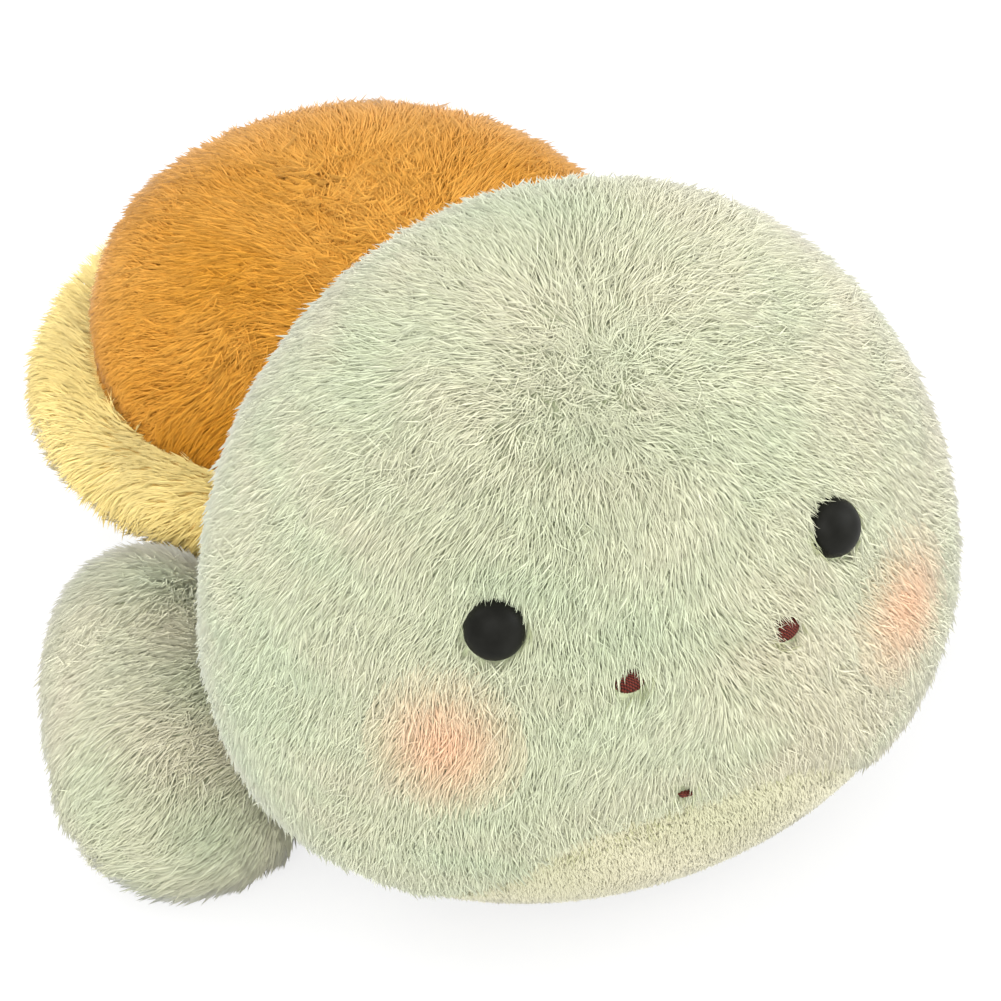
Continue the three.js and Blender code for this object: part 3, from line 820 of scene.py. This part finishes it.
eyeWindow = dict(radius=5.3, bite=1.3, bare=4.9, depth=4.7)
nostrilWindow = dict(radius=3.3, bite=2.2, bare=1.9, depth=0.9)
mouthWindow = dict(radius=2.5, bite=1.6, bare=1.0, x=-3.7, height=42.1)
parting = (-0.1, 0, -0.4)
eyes = {side: seatOf("eye_" + side) for side in ("right", "left")}
nostrils = {side: seatOf("nostril_" + side) for side in ("right", "left")}
strands = growPile(headOuter, headPile, headComb, 11, headAmount, headTrim)
for number, (front, axis, _) in enumerate(eyes.values()):
    centre = front - axis * eyeWindow["depth"] * mm
    strands = openWindow(strands, centre, axis, eyeWindow, 40 + number)
for number, (front, axis, _) in enumerate(nostrils.values()):
    centre = front - axis * nostrilWindow["depth"] * mm
    strands = openWindow(strands, centre, axis, nostrilWindow, 50 + number, parting)
mouthEnd, mouthFacing = headSpot(mouthWindow["x"], mouthWindow["height"])
strands = openWindow(strands, np.array(mouthEnd), np.array(mouthFacing), mouthWindow, 60, parting)
headPiece = dress("head_plush", headWall, strands, headPaint, greenBacking, greenPlush)

chinPile = dict(strands=22000, length=1.5, uneven=0.3, lift=50, tipLift=25, swirlSize=20, swirl=0.3,
                ruffle=0.1, stray=0.4, perClump=20, clump=0.2, thickness=0.28)


def tinted(points, warm):
    return dict(blush=np.zeros(len(points)), warm=warm)


def plainPaint(points):
    return tinted(points, 0.5 + ripple(points, 30, 8)[:, 0] * 0.25)


def chinPaint(points):
    # Painted shadow on the chin pile just under the overhanging tips of the head pile
    seamShadow = 1 - smooth(chinHeight(points[:, 0]) - points[:, 2], 2.5 * mm, 9 * mm)
    return dict(plainPaint(points), shadow=seamShadow * (0.4 + 0.3 * ripple(points, 20, 13)[:, 0]))


# The pile is thinner where the toy lies on it
def lessBelow(normals, less, start=0.8, end=0.97):
    return 1 - less * smooth(-normals[:, 2], start, end)


strands = growPile(headOuter, chinPile, lambda points, normals: -up + 0 * points, 12,
                   lambda points, normals: onChin(points) * lessBelow(normals, 0.8))
chinPiece = dress("chin_plush", chinWall, strands, chinPaint, chinBacking, chinPlush)

# Shell pile
shellCrown = np.array([0.004, -0.046, 0.08])
domePile = dict(strands=52000, length=7.2, uneven=0.3, lift=38, tipLift=12, swirlSize=26, swirl=0.4,
                ruffle=0.2, stray=0.32, perClump=9, clump=0.35, thickness=0.2)
rimPile = dict(domePile, strands=34000, length=5.6, lift=28)
partMiddle, partSize = np.array([0.002, -0.017, 0]), np.array([0.01, 0.022, 1])


def nearPart(points):
    off = (points - partMiddle) / partSize
    return np.exp(-dot(off, off) / 2)


def shellComb(points, normals):
    flow = unit(points - shellCrown) * 0.7 + unit(points - (0, 0, 0.06)) * 0.5
    return flow + (ripple(points, 6, 18) * 0.6 + ripple(points, 1.5, 19) * 0.8) * nearPart(points)


def domePaint(points):
    warm = 0.45 + ripple(points, 34, 9)[:, 0] * 0.22 + 0.35 * smooth(points[:, 2], 70 * mm, 95 * mm)
    return tinted(points, warm + ripple(points, 10, 10)[:, 1] * 0.12)


def inBand(points, low, high):
    return ((shellHeight(points) > low * mm) & (shellHeight(points) < high * mm)).astype(float)


def domeTrim(points, normals):
    above = shellHeight(points) - shell["rimTop"] * mm
    edge = 0.3 + 0.55 * smooth(-points[:, 1], -15 * mm, 30 * mm)
    side = 0.4 * smooth(-points[:, 0], 20 * mm, 50 * mm) * (1 - smooth(above, 14 * mm, 28 * mm))
    side = side * (1 - smooth(-points[:, 1], 5 * mm, 30 * mm))
    share = (edge + (1 - edge) * smooth(above, 0, 14 * mm)) * (1 - side)
    return share, -0.35 * (1 - smooth(above, 0, 14 * mm))


def rimTrim(points, normals):
    seam = shell["rimTop"]
    return np.ones(len(points)), 0.45 * smooth(shellHeight(points), (seam - 3) * mm, seam * mm)


def domeAmount(points, normals):
    return inBand(points, shell["rimTop"], 200) * (1 + nearPart(points)[:, 0])


def rimAmount(points, normals):
    return inBand(points, shell["rimBottom"], shell["rimTop"])


strands = growPile(shellOuter, domePile, shellComb, 21, domeAmount, domeTrim)
domePiece = dress("shell_top_plush", domeWall, strands, domePaint, shellBacking, shellPlush)
strands = growPile(shellOuter, rimPile, shellComb, 22, rimAmount, rimTrim)
rimPiece = dress("shell_rim_plush", rimWall, strands, plainPaint, rimBacking, rimPlush)

# Belly, neck, limbs and tail
bellyPile = dict(headPile, strands=12000, length=6.5, thickness=0.34)


def greenPaint(points):
    return tinted(points, 0.4 + ripple(points, 40, 15)[:, 0] * 0.25)


def legPaint(points):
    warm = 0.65 + ripple(points, 30, 16)[:, 0] * 0.25
    return tinted(points, warm + 0.3 * smooth(points[:, 1], -75 * mm, -45 * mm))


def bellyAmount(points, normals):
    return (shellHeight(points) < shell["rimBottom"] * mm) * lessBelow(normals, 0.9, 0.9, 0.99)


strands = growPile(shellOuter, bellyPile, lambda points, normals: points * (1, 1, 0) + (0, 0, -0.01), 23,
                   bellyAmount)
strands = clearOf(strands, [*limbs.values(), neckOuter])
bellyPiece = dress("belly_plush", bellyWall, strands, greenPaint, greenBacking, greenPlush)

neckPile = dict(bellyPile, strands=7000, length=5.0)
strands = growPile(neckOuter, neckPile, lambda points, normals: (0, -1, 0) + 0 * points, 24,
                   lambda points, normals: (np.abs(normals[:, 1]) < 0.6).astype(float))
strands = clearOf(strands, [headOuter, shellOuter], 1.0)
neckWall = walled(neckOuter, "neck_wall")
neckPiece = dress("neck_plush", neckWall, strands, greenPaint, greenBacking, greenPlush)

legPile = dict(headPile, strands=44000, swirl=0.35, swirlSize=22, thickness=0.22)
hindPile = dict(legPile, strands=10000, length=6.5, thickness=0.32)
tailPile = dict(hindPile, strands=6000, length=5.5)
limbPieces = {}
for number, (name, form) in enumerate(limbs.items()):
    pile = legPile if "front" in name else tailPile if name == "tail" else hindPile
    out = -1 if "right" in name else 1 if "left" in name else 0
    flow = (out * 0.9, -0.25, -0.4) if "front" in name else (out * 0.4, 1, -0.3)
    comb = lambda points, normals, flow=flow: flow + 0 * points
    strands = growPile(form, pile, comb, 30 + number, lambda points, normals: lessBelow(normals, 0.85))
    strands = clearOf(strands, [shellOuter])
    paint = legPaint if "front" in name else greenPaint
    limbPieces[name] = dress(name + "_plush", walled(form, name + "_wall"), strands, paint, greenBacking,
                             greenPlush)

# Eyes: a domed head with a thin rim, on a shank
eye = dict(diameter=10.5, dome=3.8, edge=0.9, shank=3, rows=14, steps=48)


def makeEye(side):
    front, axis, length = eyes[side]
    half, dome, edge = eye["diameter"] / 2 * mm, eye["dome"] * mm, eye["edge"] * mm
    seat = length - dome - edge
    stem = eye["shank"] / 2 * mm
    profile = [(0, -seat), (stem * 0.8, -seat), (stem, -seat + stem * 0.2), (stem, 0), (half * 0.97, 0),
               (half, edge * 0.15), (half, edge * 0.8), (half * 0.99, edge)]
    for row in range(1, eye["rows"]):
        angle = math.pi / 2 * row / eye["rows"]
        profile.append((half * 0.985 * math.cos(angle) ** 0.9, edge + dome * math.sin(angle)))
    profile.append((0, edge + dome))
    ob = turnedForm("eye_%s_plastic" % side, profile, eye["steps"], 1, (0, 0, 0))
    turn = Vector((0, 0, 1)).rotation_difference(Vector(axis)).to_matrix().to_4x4()
    ob.data.transform(Matrix.Translation(Vector(front - axis * (dome + edge))) @ turn)
    ob.data.materials.append(eyePlastic)
    return ob


# Nostrils: satin stitches side by side, over a small padded oval
stitch = dict(width=5.4, tall=4.6, threads=12, thick=0.5, rise=1.9, sunk=0.3)


def threadAlong(name, points, thick):
    curve = bpy.data.curves.new(name, "CURVE")
    curve.dimensions = "3D"
    curve.bevel_depth, curve.bevel_resolution, curve.use_fill_caps = thick / 2 * mm, 2, True
    curve.resolution_u = 4
    spline = curve.splines.new("NURBS")
    spline.points.add(len(points) - 1)
    for spot, place in zip(spline.points, points):
        spot.co = (*place, 1)
    spline.use_endpoint_u, spline.order_u = True, 4
    ob = newObject(name, curve)
    pick(ob)
    bpy.ops.object.convert(target="MESH")
    ob = bpy.context.object
    editAll(ob, lambda: bpy.ops.mesh.remove_doubles(threshold=1e-6),
            lambda: bpy.ops.mesh.normals_make_consistent(inside=False))
    return ob


def makeNostril(side):
    front, axis, _ = nostrils[side]
    centre = front - axis * nostrilWindow["depth"] * mm
    across = unit(np.cross(up, axis))
    above = np.cross(axis, across)
    threads = []
    for i in range(stitch["threads"]):
        x = (i + 0.5) / stitch["threads"] * 2 - 1
        half = stitch["tall"] / 2 * math.sqrt(1 - (x * 0.96) ** 2)
        points = []
        for t in np.linspace(-1, 1, 9):
            height = stitch["rise"] * (1 - t ** 4) * math.sqrt(1 - (x * 0.9) ** 2) - stitch["sunk"]
            place = across * x * stitch["width"] / 2 + above * (half * t) + axis * height
            points.append(centre + place * mm)
        threads.append(threadAlong("thread", points, stitch["thick"]))
    pick(*threads)
    bpy.ops.object.join()
    ob = bpy.context.object
    ob.name = "nostril_%s_stitches" % side
    ob.data.materials.append(threadBrown)
    pick(ob)
    bpy.ops.object.shade_smooth()
    return ob


# Mouth: one line of thick two-ply thread, pressed into the pile except at the turtle's right end
mouth = dict(middle=3.8, width=17, height=42.5, dip=4, thread=1.1, ply=0.62, twists=11, sunk=-0.35,
             tipRise=2.05)


def makeMouth():
    plies = []
    for ply in (0, math.pi):
        points = []
        for share in np.linspace(-1, 1, 121):
            x = mouth["middle"] + share * mouth["width"] / 2
            place, facing = headSpot(x, mouth["height"] - mouth["dip"] * (1 - share ** 2))
            turn = ply + share * math.pi * mouth["twists"]
            sideways = facing.cross(Vector((1, 0, 0))).normalized()
            off = (facing * math.cos(turn) + sideways * math.sin(turn)) * mouth["thread"] / 4 * mm
            rise = mouth["sunk"] + mouth["tipRise"] * max(0, -share * 2 - 1) ** 2
            points.append(place + facing * (mouth["thread"] / 2 + rise) * mm + off)
        plies.append(threadAlong("ply", points, mouth["thread"] * mouth["ply"]))
    pick(*plies)
    bpy.ops.object.join()
    ob = bpy.context.object
    ob.name = "mouth_thread"
    ob.data.materials.append(threadBrown)
    pick(ob)
    bpy.ops.object.shade_smooth()
    return ob


eyePieces = {side: makeEye(side) for side in eyes}
nostrilPieces = {side: makeNostril(side) for side in nostrils}
mouthPiece = makeMouth()
print("eyes, nostrils and mouth are made")


# Stuffing: the soft filling inside each skin
filling = dict(voxel=4, rounding=3, gap=0.6, lump=0.6, lumpSize=16, dimple=0.4, dimpleSize=7)


def makeFilling(part):
    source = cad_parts[part + "_stuffing"]
    ob = newObject(part + "_fibre", source.data.copy())
    ob.data.materials.clear()
    editAll(ob, lambda: bpy.ops.mesh.remove_doubles(threshold=1e-5))
    remesh = ob.modifiers.new("remesh", "REMESH")
    remesh.mode, remesh.voxel_size = "VOXEL", filling["voxel"] * mm
    rounding = ob.modifiers.new("rounding", "SMOOTH")
    rounding.iterations = filling["rounding"]
    applyAll(ob)
    points, normals = pointsOf(ob.data), pointsOf(ob.data, "normal")
    dents = np.abs(ripple(points, filling["lumpSize"], 60)[:, :1]) * filling["lump"]
    dents = dents + np.abs(ripple(points, filling["dimpleSize"], 61)[:, :1]) * filling["dimple"]
    movePoints(ob, points - normals * (filling["gap"] + dents) * mm)
    ob.data.materials.append(fibreFill)
    pick(ob)
    bpy.ops.object.shade_smooth()
    return ob


fillings = {part: makeFilling(part) for part in ("head", "body", "neck", *limbs)}
print("stuffing is made")

# What each piece rides on and stands for, and the washers' plastic
for side in eyes:
    pieces = ((eyePieces[side], "eye_" + side, "eye_plastic"),
              (nostrilPieces[side], "nostril_" + side, "brown_thread"))
    for piece, nodeName, slot in pieces:
        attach(piece, "head")
        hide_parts(nodeName)
    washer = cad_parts["eye_washer_" + side]
    washer.data.materials.clear()
    washer.data.materials.append(washerPlastic)
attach(mouthPiece, "head")
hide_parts("mouth_stitch")

skins = [(headPiece, "head", "head_skin", "green_plush"), (chinPiece, "head", "chin_skin", "chin_plush"),
         (domePiece, "body", "shell_top", "shell_plush"), (rimPiece, "body", "shell_rim", "rim_plush"),
         (bellyPiece, "body", "belly_skin", "green_plush")]
skins += [(piece, name, name + "_skin", "green_plush") for name, piece in limbPieces.items()]
for piece, body, nodeName, slot in skins:
    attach(piece, body)
    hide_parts(nodeName)
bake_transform(neckPiece)
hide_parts("neck_band")
for part, piece in fillings.items():
    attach(piece, "body" if part == "neck" else part)
    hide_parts(part + "_stuffing")

for form in [headOuter, shellOuter, neckOuter, *limbs.values()]:
    bpy.data.objects.remove(form)
